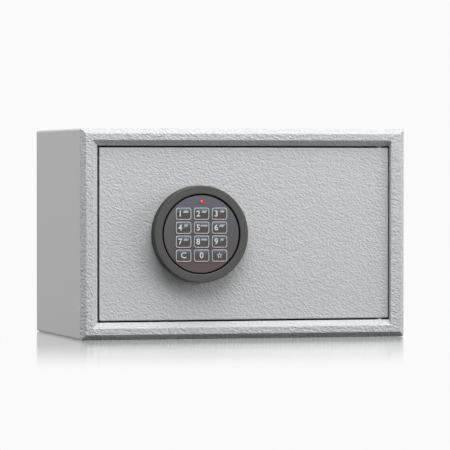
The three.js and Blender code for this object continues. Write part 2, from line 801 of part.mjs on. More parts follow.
function mainBoard() {
  const { left, right, low, high, front, sheet } = BOARD;
  return block(left, front, low, right, front + sheet, high);
}

// An open box that holds the cells upright, side by side.
function batteryTray() {
  const { wall, spare } = TRAY;
  const halfWidth = (CELL.pitch * CELL.count) / 2 + 2.6;
  const halfHeight = CELL.length / 2 + spare;
  const floor = CELL.y - CELL.radius - GAP;
  const back = CASE.back - CASE.sheet - GAP;
  const box = (inset, from, to) =>
    block(
      CELL.x - halfWidth + inset,
      from,
      MID - halfHeight + inset,
      CELL.x + halfWidth - inset,
      to,
      MID + halfHeight - inset,
    );
  return cut(box(0, floor - wall, back), box(wall, floor, back + 1));
}

// The cells lie head to tail, each with its raised terminal.
function cell(index) {
  const { radius, length, pitch, count } = CELL;
  const x = CELL.x + (index - (count - 1) / 2) * pitch;
  const low = MID - length / 2;
  const high = low + length;
  const shoulder = high - 1.5;
  const terminal = 2.8;
  const profile = [
    [0, low],
    [radius, low],
    [radius, shoulder],
    [terminal, shoulder],
    [terminal, high],
    [0, high],
  ];
  const body = turnedZ(profile, x, CELL.y, 20);
  return index % 2 ? mirroredUp(body) : body;
}

// A shallow cap that slides down off the battery window, with ribs for the thumb.
function batteryCover() {
  const { halfWidth, sheet } = COVER;
  const front = CASE.back + GAP;
  const outline = roundedRect(CELL.x - halfWidth, MID - halfWidth, CELL.x + halfWidth, MID + halfWidth, 4);
  const ribs = [0, 1, 2, 3].map((i) => {
    const low = MID + halfWidth / 2 + 3.5 * i;
    return block(CELL.x - 12, front + 1, low, CELL.x + 12, front + sheet + 0.8, low + 1.2);
  });
  return join(alongY(outline, front, front + sheet, 3), ...ribs);
}

// A flanged cap behind the case's back wall.
function resetButton() {
  const { radius, flange, proud } = RESET;
  const { back } = CASE;
  const profile = [
    [0, back - 5.5],
    [flange, back - 5.5],
    [flange, back - 3.6],
    [radius, back - 3.6],
    [radius, back + proud - 0.4],
    [radius - 0.5, back + proud],
    [0, back + proud],
  ];
  return turnedY(profile, RESET.x, RESET.z, 16);
}

// ---------------------------------------------------------------- assembly

piece('cabinet_wrap', cabinetWrap(), SMOOTH_PAINT);
piece('rear_wall', rearWall(), SMOOTH_PAINT);
piece('front_frame', frontFrame(), STRUCTURED_PAINT);
piece('strike_plate', strikePlate(), ZINC);
piece('lower_door_stop', doorStop(), ZINC);
piece('upper_door_stop', mirroredUp(doorStop()), ZINC);
piece('floor_mat', floorMat(), FELT);
piece('left_floor_plug', floorPlug(-1), BLACK_PLASTIC);
piece('right_floor_plug', floorPlug(1), BLACK_PLASTIC);
piece('left_rear_plug', rearPlug(-1), BLACK_PLASTIC);
piece('right_rear_plug', rearPlug(1), BLACK_PLASTIC);
piece('lower_hinge_bush', hingeBush(), WHITE_NYLON);
piece('upper_hinge_bush', mirroredUp(hingeBush()), WHITE_NYLON);

piece('door_panel', doorPanel(), STRUCTURED_PAINT);
piece('lower_hinge_pin', hingePin(), BRIGHT_STEEL);
piece('upper_hinge_pin', mirroredUp(hingePin()), BRIGHT_STEEL);
piece('lower_hinge_block', hingeBlock(), ZINC);
piece('upper_hinge_block', mirroredUp(hingeBlock()), ZINC);
piece('spindle_bush', spindleBush(), BLACK_PLASTIC);
piece('bolt_guide', boltGuide(), ZINC);
piece('guide_stud', guideStud(), BRIGHT_STEEL);
piece('post_bracket', postBracket(), ZINC);
piece('post_nut', postNut(), BRASS);
piece('boltwork_case', boltworkCase(), SMOOTH_PAINT);
piece('lock_case', lockCase(), ZINC);
piece('main_board', mainBoard(), BOARD_GREEN);
piece('battery_tray', batteryTray(), BLACK_PLASTIC);
for (let i = 0; i < CELL.count; i += 1) piece(`battery_${i + 1}`, cell(i), BRASS);
piece('keypad_housing', keypadHousing(), BLACK_PLASTIC);
piece('keypad_board', keypadBoard(), BOARD_GREEN);
piece('keypad_face', keypadFace(), KEYPAD_FILM);
piece('status_lens', statusLens(), RED_LENS);
piece('keypad_cable', keypadCable(), BLACK_PLASTIC);

piece('knob_ring', knobRing(), KNOB_PLASTIC);
piece('spindle_sleeve', spindleSleeve(), ZINC);
piece('bolt_cam', boltCam(), ZINC);
piece('cam_circlip', camCirclip(), BRIGHT_STEEL);

piece('bolt_bar', boltBar(), ZINC);
piece('lower_bolt', bolt(-1), BRIGHT_STEEL);
piece('upper_bolt', bolt(1), BRIGHT_STEEL);
piece('drive_pin', drivePin(), BRIGHT_STEEL);

piece('lock_plunger', lockPlunger(), BRIGHT_STEEL);
piece('battery_cover', batteryCover(), BLACK_PLASTIC);
piece('reset_button', resetButton(), RED_LENS);

const KEY_NAMES = ['1', '2', '3', '4', '5', '6', '7', '8', '9', 'clear', '0', 'star'];
KEY_NAMES.forEach((name, i) => piece(`key_${name}`, key(i % 3, Math.floor(i / 3)), KEY_PLASTIC));

export default safe;
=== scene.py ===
"""The visible pieces and finishes of a hotel in-room safe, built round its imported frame."""

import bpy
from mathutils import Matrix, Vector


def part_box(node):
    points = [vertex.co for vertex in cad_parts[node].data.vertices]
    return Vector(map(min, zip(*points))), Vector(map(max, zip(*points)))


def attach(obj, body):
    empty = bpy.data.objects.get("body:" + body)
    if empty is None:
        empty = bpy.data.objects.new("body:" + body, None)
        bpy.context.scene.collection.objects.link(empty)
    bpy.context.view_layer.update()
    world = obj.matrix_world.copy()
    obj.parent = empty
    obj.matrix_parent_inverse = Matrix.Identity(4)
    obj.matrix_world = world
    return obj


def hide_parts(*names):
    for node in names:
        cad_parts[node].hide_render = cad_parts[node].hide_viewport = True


bl_info = {
    "name": "In-room safe",
    "version": (1, 0, 0),
    "blender": (4, 5, 0),
    "location": "3D View > Sidebar > Safe",
    "description": "Builds the pieces, finishes and stage of a hotel in-room safe",
    "category": "Object",
}

import math

import bmesh
import bpy
from bpy.props import FloatProperty, FloatVectorProperty, PointerProperty, StringProperty
from mathutils import Matrix, Vector

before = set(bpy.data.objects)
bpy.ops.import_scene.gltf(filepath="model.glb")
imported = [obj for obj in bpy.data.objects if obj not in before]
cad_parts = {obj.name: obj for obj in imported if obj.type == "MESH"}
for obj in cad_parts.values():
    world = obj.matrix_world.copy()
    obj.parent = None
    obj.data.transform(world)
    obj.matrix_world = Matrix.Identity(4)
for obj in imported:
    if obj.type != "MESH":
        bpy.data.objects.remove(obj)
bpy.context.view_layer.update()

MM = 0.001
KEY_ROWS = (("1", "2", "3"), ("4", "5", "6"), ("7", "8", "9"), ("clear", "0", "star"))
KEY_NAMES = [name for row in KEY_ROWS for name in row]
LETTERS = ("abc", "def", "ghi", "jkl", "mno", "pqr", "stu", "vwx", "yz")
DIGIT_PLACE = Vector((-3.3, 0, -0.2)) * MM  # from a key's middle
LETTERS_PLACE = Vector((2.1, 0, 2.1)) * MM
PRINT_DEPTH = 0.12 * MM  # half the thickness of the raised print
# Near black of the painted shade in the gap round the door
GAP_SHADE_BLACK = "#0B0B0C"
SOFTBOXES = {  # where each one stands and how large it is, in metres
    "overhead": ((0.0, -0.75, 1.55), (1.6, 1.4)),
    "right": ((1.9, -0.95, 0.67), (1.4, 1.4)),
    "left": ((-1.8, 0.8, 0.4), (1.2, 1.2)),
}


# ---------------------------------------------------------------- places read from the frame


def centre(node):
    low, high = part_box(node)
    return (low + high) / 2


def extent(node):
    low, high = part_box(node)
    return high - low


def well_radius():
    """Radius of the ring's bore, in which the keypad stands clear all round."""
    return extent("keypad_housing").x / 2 + bpy.context.scene.safe_keypad.well_gap


# ---------------------------------------------------------------- nodes and meshes


def linear(hex_colour):
    """An sRGB hex colour as linear RGBA."""
    channels = [int(hex_colour[i : i + 2], 16) / 255 for i in (1, 3, 5)]
    return tuple(c / 12.92 if c <= 0.04045 else ((c + 0.055) / 1.055) ** 2.4 for c in channels) + (1.0,)


def add_node(tree, kind, inputs=None, **settings):
    """Adds a node with its settings; each input takes a value or another node's output."""
    node = tree.nodes.new(kind)
    for name, value in settings.items():
        setattr(node, name, value)
    for socket, value in (inputs or {}).items():
        if isinstance(value, bpy.types.NodeSocket):
            tree.links.new(value, node.inputs[socket])
        else:
            node.inputs[socket].default_value = value
    return node


def build_object(name, mesh):
    obj = bpy.data.objects.new(name, mesh)
    bpy.context.scene.collection.objects.link(obj)
    return obj


def mesh_object(name, bm):
    bmesh.ops.remove_doubles(bm, verts=bm.verts, dist=1e-7)
    bmesh.ops.recalc_face_normals(bm, faces=bm.faces)
    mesh = bpy.data.meshes.new(name)
    bm.to_mesh(mesh)
    bm.free()
    return build_object(name, mesh)


def bake_modifiers(obj):
    """Replaces the object's mesh by what its modifiers make of it."""
    evaluated = obj.evaluated_get(bpy.context.evaluated_depsgraph_get())
    mesh = bpy.data.meshes.new_from_object(evaluated)
    obj.modifiers.clear()
    obj.data = mesh
    return obj


def smooth(obj, angle=32):
    """Smooth shading that keeps edges sharper than the angle, with flats that stay flat."""
    obj.data.shade_smooth()
    obj.data.set_sharp_from_angle(angle=math.radians(angle))
    weighted = obj.modifiers.new("flats", "WEIGHTED_NORMAL")
    weighted.keep_sharp = True
    return bake_modifiers(obj)


def finish_piece(obj, body, slot, *replaced, material=None):
    """Gives a piece its finish and the body that it rides on, and hides the nodes that it stands for."""
    obj.data.materials.clear()
    obj.data.materials.append(finish(material or slot))
    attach(obj, body)
    if replaced:
        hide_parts(*replaced)
    return obj


def dressed_copy(node, name, edge_mm):
    """A merged copy of a node with its edges broken, as a pressed, turned or moulded piece has."""
    bm = bmesh.new()
    bm.from_mesh(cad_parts[node].data)
    bmesh.ops.remove_doubles(bm, verts=bm.verts, dist=1e-6)
    bmesh.ops.dissolve_limit(bm, angle_limit=math.radians(0.5), verts=bm.verts, edges=bm.edges)
    mesh = bpy.data.meshes.new(name)
    bm.to_mesh(mesh)
    bm.free()
    obj = build_object(name, mesh)
    if edge_mm:
        bevel = obj.modifiers.new("edges", "BEVEL")
        bevel.width = edge_mm * MM
        bevel.segments = 2
        bevel.limit_method = "ANGLE"
        bevel.angle_limit = math.radians(40)
        bake_modifiers(obj)
    return smooth(obj)


def dress(node, body, slot, edge_mm=0.3, name=None):
    """A dressed copy that takes the node's place."""
    return finish_piece(dressed_copy(node, name or f"{node}_finished", edge_mm), body, slot, node)


def revolve(name, profile, axis_point, steps=160):
    """Turns a closed profile of (radius, y) in millimetres about an axis along Y."""
    bm = bmesh.new()
    rings = []
    for i in range(steps):
        angle = 2 * math.pi * i / steps
        direction = Vector((math.cos(angle), 0, math.sin(angle)))
        ring = []
        for radius, y in profile:
            place = direction * radius * MM + Vector((axis_point.x, y * MM, axis_point.z))
            ring.append(bm.verts.new(place))
        rings.append(ring)
    for i, ring in enumerate(rings):
        beside = rings[(i + 1) % steps]
        for j in range(len(profile)):
            k = (j + 1) % len(profile)
            corners = (ring[j], beside[j], beside[k], ring[k])
            if profile[j][0] + profile[k][0] > 0:
                bm.faces.new(corners)
    return smooth(mesh_object(name, bm), 25)


def rounded(points, radius, steps=4):
    """Rounds the corners of a closed outline of (a, b) pairs with arcs of one radius."""
    out = []
    count = len(points)
    for i, point in enumerate(points):
        corner = Vector(point)
        before = (Vector(points[i - 1]) - corner).normalized()
        after = (Vector(points[(i + 1) % count]) - corner).normalized()
        half = before.angle(after) / 2
        middle = corner + (before + after).normalized() * radius / math.sin(half)
        start = (corner + before * radius / math.tan(half) - middle).normalized()
        end = (corner + after * radius / math.tan(half) - middle).normalized()
        for k in range(steps + 1):
            out.append(tuple(middle + start.slerp(end, k / steps) * radius))
    return out


def rounded_rectangle(width, height, radius, steps=5):
    """Points of a rounded rectangle about (0, 0), anticlockwise."""
    out = []
    for quarter in range(4):
        x = (width / 2 - radius) * (1 if quarter in (0, 3) else -1)
        z = (height / 2 - radius) * (1 if quarter in (0, 1) else -1)
        for k in range(steps + 1):
            angle = math.pi / 2 * (quarter + k / steps)
            out.append((x + radius * math.cos(angle), z + radius * math.sin(angle)))
    return out


# ---------------------------------------------------------------- finishes


def textured(name, hollow, ridge, size_mm, rough, depth_mm=0.0, detail=2.0, swirl=0.0, **inputs):
    """A material whose colour, roughness and relief all follow one grain, fixed to the object.

    hollow and ridge are the sRGB colours at the grain's bottom and top, size_mm is the distance
    between grains, depth_mm their height and rough the roughness at the bottom and the top.
    """
    material = bpy.data.materials.new(name)
    material.use_nodes = True
    tree = material.node_tree
    tree.nodes.clear()
    place = add_node(tree, "ShaderNodeTexCoord", name="place").outputs["Object"]
    grain = add_node(
        tree, "ShaderNodeTexNoise",
        {"Vector": place, "Scale": 1 / (size_mm * MM), "Detail": detail, "Distortion": swirl},
        name="grain",
    ).outputs["Fac"]
    colour = add_node(
        tree, "ShaderNodeMix", {0: grain, 6: linear(hollow), 7: linear(ridge)},
        data_type="RGBA", name="colour",
    )
    shine = add_node(
        tree, "ShaderNodeMapRange", {"Value": grain, "To Min": rough[0], "To Max": rough[1]}, name="shine"
    )
    looks = {"Base Color": colour.outputs[2], "Roughness": shine.outputs["Result"]}
    if depth_mm:
        bump = add_node(tree, "ShaderNodeBump", {"Height": grain, "Distance": depth_mm * MM}, name="relief")
        looks["Normal"] = bump.outputs["Normal"]
    surface = add_node(tree, "ShaderNodeBsdfPrincipled", {**looks, **inputs}, name="surface")
    add_node(tree, "ShaderNodeOutputMaterial", {"Surface": surface.outputs[0]})
    return material


def structured_paint():
    """Leather-textured powder coat: the melt shrinks into soft wrinkles that lean to one side.

    The coat builds up more on the bent frame, so its wrinkles are deeper there. The edges in the
    gap round the door carry painted shade: they turn near black, so the gap reads as one line.
    """
    look = bpy.context.scene.safe_cabinet
    material = textured(
        "structured_powder_coat", look.paint_dark, look.paint, look.grain / MM, (0.58, 0.42),
        depth_mm=look.grain_depth / MM, detail=3.0, swirl=0.4,
    )
    tree = material.node_tree
    place, surface = tree.nodes["place"].outputs["Object"], tree.nodes["surface"]
    leaning = add_node(
        tree, "ShaderNodeMapping",
        {"Vector": place, "Rotation": (0, look.grain_lean, 0), "Scale": (look.grain_stretch, 1, 1)},
        vector_type="TEXTURE",
    )
    tree.links.new(leaning.outputs["Vector"], tree.nodes["grain"].inputs["Vector"])
    half = extent("door_panel") / 2
    inset, shade_start, shade_end = 0.3 * MM, 0.5 * MM, 1.2 * MM
    offset = add_node(
        tree, "ShaderNodeVectorMath", {0: place, 1: tuple(centre("door_panel"))}, operation="SUBTRACT"
    )
    apart = add_node(
        tree, "ShaderNodeVectorMath", {0: offset.outputs[0], 1: (1, 0, 1)}, operation="MULTIPLY"
    )
    folded = add_node(tree, "ShaderNodeVectorMath", {0: apart.outputs[0]}, operation="ABSOLUTE")
    margin = add_node(
        tree, "ShaderNodeVectorMath",
        {0: folded.outputs[0], 1: (half.x - inset, 0, half.z - inset)}, operation="SUBTRACT",
    )
    sides = add_node(tree, "ShaderNodeSeparateXYZ", {"Vector": margin.outputs[0]})
    outside = add_node(
        tree, "ShaderNodeMath", {0: sides.outputs["X"], 1: sides.outputs["Z"]}, operation="MAXIMUM"
    )
    at_edge = add_node(tree, "ShaderNodeMath", {0: outside.outputs[0], 1: 0.0}, operation="GREATER_THAN")
    thicker = add_node(
        tree, "ShaderNodeMapRange",
        {
            "Value": at_edge.outputs[0], "To Min": look.grain_depth,
            "To Max": look.grain_depth * look.frame_build,
        },
    )
    tree.links.new(thicker.outputs["Result"], tree.nodes["relief"].inputs["Distance"])
    # Painted shade: at the door's edges, the paint is mixed to near black from 0.5 mm behind the door's
    # face, fully by 1.2 mm
    depth = add_node(tree, "ShaderNodeSeparateXYZ", {"Vector": offset.outputs[0]})
    behind = add_node(
        tree, "ShaderNodeMapRange",
        {"Value": depth.outputs["Y"], "From Min": shade_start - half.y, "From Max": shade_end - half.y},
    )
    share = add_node(
        tree, "ShaderNodeMath", {0: behind.outputs["Result"], 1: at_edge.outputs[0]}, operation="MULTIPLY"
    )
    painted_gap_shade = add_node(
        tree, "ShaderNodeMix",
        {0: share.outputs[0], 6: tree.nodes["colour"].outputs[2], 7: linear(GAP_SHADE_BLACK)},
        data_type="RGBA",
    )
    tree.links.new(painted_gap_shade.outputs[2], surface.inputs["Base Color"])
    return material


def smooth_paint():
    """Smooth satin powder coat, with the faint orange peel that such a coat keeps."""
    look = bpy.context.scene.safe_cabinet
    return textured("smooth_powder_coat", "#C6C6C6", look.side_paint, 2.2, (0.45, 0.55), depth_mm=0.02)


def coloured_by_radius(material, axis, stops):
    """Multiplies the material's colour by hex colours at distances from an axis along Y."""
    tree = material.node_tree
    reach = stops[-1][0]
    offset = add_node(
        tree, "ShaderNodeVectorMath",
        {0: tree.nodes["place"].outputs["Object"], 1: tuple(axis)}, operation="SUBTRACT",
    )
    flat = add_node(
        tree, "ShaderNodeVectorMath", {0: offset.outputs[0], 1: (1 / reach, 0, 1 / reach)},
        operation="MULTIPLY",
    )
    radius = add_node(tree, "ShaderNodeVectorMath", {0: flat.outputs[0]}, operation="LENGTH")
    zones = add_node(tree, "ShaderNodeValToRGB", {"Fac": radius.outputs["Value"]})
    ramp = zones.color_ramp
    ramp.elements[0].color, ramp.elements[1].color = linear(stops[0][1]), linear(stops[-1][1])
    for distance, colour in stops[1:-1]:
        ramp.elements.new(distance / reach).color = linear(colour)
    surface = tree.nodes["surface"]
    own = surface.inputs["Base Color"].links[0].from_socket
    zoned = add_node(
        tree, "ShaderNodeMix", {0: 1.0, 6: own, 7: zones.outputs["Color"]},
        data_type="RGBA", blend_type="MULTIPLY",
    )
    tree.links.new(zoned.outputs[2], surface.inputs["Base Color"])
    return material


def knob_plastic():
    """Moulded ABS with a fine satin grain that spreads the light; its bore and outer wall are darkened with
    painted shade.
    """
    look = bpy.context.scene.safe_keypad
    material = textured(
        "satin_moulded_abs", "#4A4A49", look.ring, 0.7, (0.48, 0.56), depth_mm=0.015,
        **{"IOR": 1.53, "Specular IOR Level": 0.3},
    )
    bore, grip = well_radius(), extent("knob_ring").x / 2
    # Painted shade: the bore, its floor and the hub are drawn near black, and the outermost 0.3 mm of
    # radius, over the outer chamfer and wall, fades to mid grey
    stops = (
        (0.0, "#202020"),
        (bore, "#202020"),
        (bore + 0.1 * MM, "#FFFFFF"),
        (grip - 0.3 * MM, "#FFFFFF"),
        (grip - 0.05 * MM, "#7C7C7C"),
        (grip, "#7C7C7C"),
    )
    return coloured_by_radius(material, centre("knob_ring"), stops)


def keypad_film():
    """Printed polycarbonate film, its own dark grey under a painted reflection: blue grey at the top, warm
    grey at the foot; a black border.
    """
    look = bpy.context.scene.safe_keypad
    material = textured(
        "printed_polycarbonate_film", look.film_low, look.film_high, 0.5, (0.26, 0.36),
        depth_mm=0.006, IOR=1.58,
    )
    tree = material.node_tree
    low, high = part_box("keypad_face")
    height = add_node(
        tree, "ShaderNodeSeparateXYZ", {"Vector": tree.nodes["place"].outputs["Object"]}
    )
    share = add_node(
        tree, "ShaderNodeMapRange", {"Value": height.outputs["Z"], "From Min": low.z, "From Max": high.z}
    )
    # Painted reflection: the film's own dark grey takes a blue grey cast towards the top and a warm one
    # towards the foot
    ink = add_node(tree, "ShaderNodeValToRGB", {"Fac": share.outputs["Result"]})
    ramp = ink.color_ramp
    ramp.elements[0].color, ramp.elements[1].color = linear(look.film_low), linear(look.film_high)
    ramp.elements.new(0.45).color = linear(look.film_middle)
    tree.links.new(ink.outputs["Color"], tree.nodes["surface"].inputs["Base Color"])
    edge = (high.x - low.x) / 2
    border, blend = 0.7 * MM, 0.15 * MM
    stops = (
        (0.0, "#FFFFFF"),
        (edge - border, "#FFFFFF"),
        (edge - border + blend, "#202020"),
        (edge, "#202020"),
    )
    return coloured_by_radius(material, (low + high) / 2, stops)


def key_plastic():
    """Polished, slightly smoky acrylic, with painted light: a blue grey highlight along a key's top and a
    warm painted reflection along its foot.
    """
    material = textured(
        "polished_acrylic_key", "#2E2B2C", "#433E3F", 4.0, (0.1, 0.16), detail=1.0,
        **{"IOR": 1.49, "Coat Weight": 0.5, "Coat Roughness": 0.05},
    )
    tree = material.node_tree
    # Painted highlight and reflection: rise runs from 0 at a key's foot to 1 at its top, and the ramp
    # paints warm at the foot, the key's own dark grey across the middle and blue grey at the top
    rise = add_node(tree, "ShaderNodeAttribute", attribute_name="rise")
    glow = add_node(tree, "ShaderNodeValToRGB", {"Fac": rise.outputs["Fac"]})
    ramp = glow.color_ramp
    ramp.elements[0].color, ramp.elements[1].color = linear("#6A4A40"), linear("#737C8A")
    for share, colour in ((0.14, "#594038"), (0.26, "#3A3637"), (0.6, "#3E3B3D"), (0.84, "#5C636E")):
        ramp.elements.new(share).color = linear(colour)
    tree.links.new(glow.outputs["Color"], tree.nodes["surface"].inputs["Base Color"])
    return material


def white_ink():
    """Screen-printed ink, a thin matt layer that is a little uneven."""
    return textured("white_screen_ink", "#E0DED9", "#F5F3EE", 0.8, (0.55, 0.65), depth_mm=0.01)


def grey_ink():
    """Pale grey screen-printed ink."""
    return textured("grey_screen_ink", "#C4C9CD", "#DDE1E5", 0.8, (0.55, 0.65), depth_mm=0.01)


def red_lens():
    """Clear red polycarbonate over a lit diode."""
    glow = {"Emission Color": linear("#F5303C"), "Emission Strength": 0.35}
    return textured(
        "red_polycarbonate_lens", "#C81E2A", "#F2505A", 1.0, (0.12, 0.18), detail=1.0, IOR=1.58, **glow
    )


def zinc_steel():
    """Zinc-plated sheet: a dull metal with cloudy crystals a few millimetres across."""
    return textured(
        "zinc_plated_steel", "#8F9292", "#BDC0C0", 5.0, (0.3, 0.5), depth_mm=0.01, detail=4.0, Metallic=1.0
    )


def gap_shade_steel():
    """Near-black matt sheet for the zinc-plated keepers: painted shade, so that nothing shines behind the
    door's gap.
    """
    return textured(
        "black_phosphated_steel", "#0C0C0D", "#1A1A1B", 1.2, (0.6, 0.75), depth_mm=0.01, detail=3.0
    )


def bright_steel():
    """Turned and nickel-plated steel: bright, with fine lathe marks."""
    return textured(
        "nickel_plated_steel", "#B4B7BA", "#DADDE0", 0.4, (0.14, 0.28), detail=3.0, Metallic=1.0
    )


def brass():
    """Turned brass, slightly dulled."""
    return textured("turned_brass", "#9C8244", "#C9AE66", 1.5, (0.22, 0.38), detail=3.0, Metallic=1.0)


def black_plastic():
    """Moulded ABS with a spark-eroded grain of about half a millimetre."""
    return textured("grained_black_abs", "#17181A", "#26282B", 0.6, (0.45, 0.6), 0.03, 3.0, IOR=1.53)


def nylon():
    """Natural white nylon, waxy and a little uneven in colour."""
    return textured("natural_nylon", "#D2D2CB", "#E6E6E0", 2.0, (0.4, 0.5), depth_mm=0.01, IOR=1.53)


def circuit_board():
    """Green solder resist over copper tracks, which show as lighter lines."""
    material = textured("solder_resist", "#174A2C", "#2C7A4C", 3.0, (0.3, 0.4), depth_mm=0.03)
    tree = material.node_tree
    tracks = add_node(
        tree, "ShaderNodeTexVoronoi",
        {"Vector": tree.nodes["place"].outputs["Object"], "Scale": 1 / (3 * MM)}, distance="CHEBYCHEV",
    )
    for name, socket in (("colour", 0), ("relief", "Height")):
        tree.links.new(tracks.outputs["Distance"], tree.nodes[name].inputs[socket])
    return material


def cell_wrap():
    """Shrink sleeve of an AA cell: dark in the middle with a metallic band at each end."""
    material = textured("printed_shrink_sleeve", "#23262C", "#B98A55", 2.0, (0.3, 0.18))
    tree = material.node_tree
    low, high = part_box("battery_1")
    height = add_node(
        tree, "ShaderNodeSeparateXYZ", {"Vector": tree.nodes["place"].outputs["Object"]}
    )
    band = add_node(
        tree, "ShaderNodeMath",
        {0: height.outputs["Z"], 1: (low.z + high.z) / 2, 2: (high.z - low.z) * 0.34}, operation="COMPARE",
    )
    for name, socket in (("colour", 0), ("shine", "Value")):
        tree.links.new(band.outputs[0], tree.nodes[name].inputs[socket])
    tree.nodes["colour"].inputs[6].default_value = linear("#B98A55")
    tree.nodes["colour"].inputs[7].default_value = linear("#23262C")
    return material


def felt():
    """Needle-punched polyester felt: short tangled fibres with a soft sheen."""
    return textured(
        "needle_felt", "#23262C", "#3B3F48", 0.9, (0.9, 1.0), depth_mm=0.4, detail=6.0, swirl=1.5,
        **{"Sheen Weight": 0.6},
    )


FINISHES = {
    "structured_paint": structured_paint,
    "smooth_paint": smooth_paint,
    "knob_plastic": knob_plastic,
    "keypad_film": keypad_film,
    "key_plastic": key_plastic,
    "white_ink": white_ink,
    "grey_ink": grey_ink,
    "red_lens": red_lens,
    "zinc_steel": zinc_steel,
    "gap_shade_steel": gap_shade_steel,
    "bright_steel": bright_steel,
    "brass": brass,
    "black_plastic": black_plastic,
    "nylon": nylon,
    "circuit_board": circuit_board,
    "cell_wrap": cell_wrap,
    "felt": felt,
}
made_finishes = {}


def finish(name):
    """The material of that finish, made once."""
    if name not in made_finishes:
        made_finishes[name] = FINISHES[name]()
    return made_finishes[name]


# ---------------------------------------------------------------- geometry node trees


def new_tree(name, sizes):
    """A Geometry Nodes tree with named length inputs, a Geometry output and a Material input."""
    tree = bpy.data.node_groups.new(name, "GeometryNodeTree")
    tree.interface.new_socket("Geometry", in_out="OUTPUT", socket_type="NodeSocketGeometry")
    for label, default in sizes.items():
        kind = "NodeSocketVector" if isinstance(default, tuple) else "NodeSocketFloat"
        socket = tree.interface.new_socket(label, in_out="INPUT", socket_type=kind)
        socket.default_value = default
    tree.interface.new_socket("Material", in_out="INPUT", socket_type="NodeSocketMaterial")
    return tree, add_node(tree, "NodeGroupInput")


def end_tree(tree, entry, geometry):
    """Realizes the instances, sets the material and closes the tree."""
    real = add_node(tree, "GeometryNodeRealizeInstances", {"Geometry": geometry})
    painted = add_node(
        tree, "GeometryNodeSetMaterial",
        {"Geometry": real.outputs["Geometry"], "Material": entry.outputs["Material"]},
    )
    add_node(tree, "NodeGroupOutput", {"Geometry": painted.outputs["Geometry"]})
    return tree


def grow(tree, name, **values):
    """Runs a tree with these inputs and returns the result as a plain mesh object."""
    obj = build_object(name, bpy.data.meshes.new(name))
    modifier = obj.modifiers.new("grow", "NODES")
    modifier.node_group = tree
    labels = {key.replace("_", " ").capitalize(): value for key, value in values.items()}
    for item in tree.interface.items_tree:
        if item.in_out == "INPUT" and item.name in labels:
            modifier[item.identifier] = labels[item.name]
    return bake_modifiers(obj)


def swept_rectangle(tree, entry, section, arc_points):
    """Sweeps a section round the rounded rectangle of the inputs and stands it up, facing -Y."""
    path = add_node(
        tree, "GeometryNodeCurvePrimitiveQuadrilateral",
        {"Width": entry.outputs["Width"], "Height": entry.outputs["Height"]},
    )
    soft = add_node(
        tree, "GeometryNodeFilletCurve",
        {"Curve": path.outputs["Curve"], "Radius": entry.outputs["Corner"], "Count": arc_points},
        mode="POLY",
    )
    swept = add_node(
        tree, "GeometryNodeCurveToMesh",
        {"Curve": soft.outputs["Curve"], "Profile Curve": section.outputs["Curve"]},
    )
    upright = add_node(
        tree, "GeometryNodeTransform",
        {
            "Geometry": swept.outputs["Mesh"], "Rotation": (math.pi / 2, 0.0, 0.0),
            "Translation": entry.outputs["Centre"],
        },
    )
    return end_tree(tree, entry, upright.outputs["Geometry"])


def outline_tree():
    """The raised printed line round a key: a rounded rectangle swept with a flat section."""
    sizes = {"Width": 0.014, "Height": 0.01, "Corner": 0.002, "Line": 0.001, "Relief": 0.0003}
    tree, entry = new_tree("key_outline", {**sizes, "Centre": (0.0, 0.0, 0.0)})
    section = add_node(
        tree, "GeometryNodeCurvePrimitiveQuadrilateral",
        {"Width": entry.outputs["Line"], "Height": entry.outputs["Relief"]},
    )
    return swept_rectangle(tree, entry, section, 6)


def seam_tree():
    """The dressed weld bead between the wrapped cabinet and its pressed front."""
    sizes = {"Width": 0.32, "Height": 0.2, "Corner": 0.0025, "Bead": 0.0006}
    tree, entry = new_tree("weld_bead", {**sizes, "Centre": (0.0, 0.0, 0.0)})
    section = add_node(
        tree, "GeometryNodeCurvePrimitiveCircle", {"Resolution": 10, "Radius": entry.outputs["Bead"]}
    )
    return swept_rectangle(tree, entry, section, 5)


def screw_tree(head, places):
    """One screw head repeated at the vertices of a small guide mesh."""
    tree, entry = new_tree("case_screws", {})
    guide = add_node(tree, "GeometryNodeObjectInfo", {"Object": places}, transform_space="ORIGINAL")
    shape = add_node(tree, "GeometryNodeObjectInfo", {"Object": head}, transform_space="ORIGINAL")
    spots = add_node(tree, "GeometryNodeMeshToPoints", {"Mesh": guide.outputs["Geometry"]})
    copies = add_node(
        tree, "GeometryNodeInstanceOnPoints",
        {"Points": spots.outputs["Points"], "Instance": shape.outputs["Geometry"]},
    )
    return end_tree(tree, entry, copies.outputs["Instances"])


def spring_tree():
    """The battery tray's contact springs: one conical coil per cell, side by side."""
    sizes = {"Wire": 0.00035, "Wide": 0.004, "Narrow": 0.0025, "Height": 0.0024, "Pitch": 0.015}
    tree, entry = new_tree("contact_springs", {**sizes, "First": (0.0, 0.0, 0.0)})
    coil = add_node(
        tree, "GeometryNodeCurveSpiral",
        {
            "Resolution": 16, "Rotations": 3.5, "Start Radius": entry.outputs["Wide"],
            "End Radius": entry.outputs["Narrow"], "Height": entry.outputs["Height"],
        },
    )
    section = add_node(
        tree, "GeometryNodeCurvePrimitiveCircle", {"Resolution": 6, "Radius": entry.outputs["Wire"]}
    )
    wire = add_node(
        tree, "GeometryNodeCurveToMesh",
        {"Curve": coil.outputs["Curve"], "Profile Curve": section.outputs["Curve"], "Fill Caps": True},
    )
    step = add_node(tree, "ShaderNodeCombineXYZ", {"X": entry.outputs["Pitch"]})
    row = add_node(
        tree, "GeometryNodeMeshLine",
        {"Count": 4, "Start Location": entry.outputs["First"], "Offset": step.outputs["Vector"]},
    )
    copies = add_node(
        tree, "GeometryNodeInstanceOnPoints",
        {"Points": row.outputs["Mesh"], "Instance": wire.outputs["Mesh"]},
    )
    return end_tree(tree, entry, copies.outputs["Instances"])


# ---------------------------------------------------------------- settings


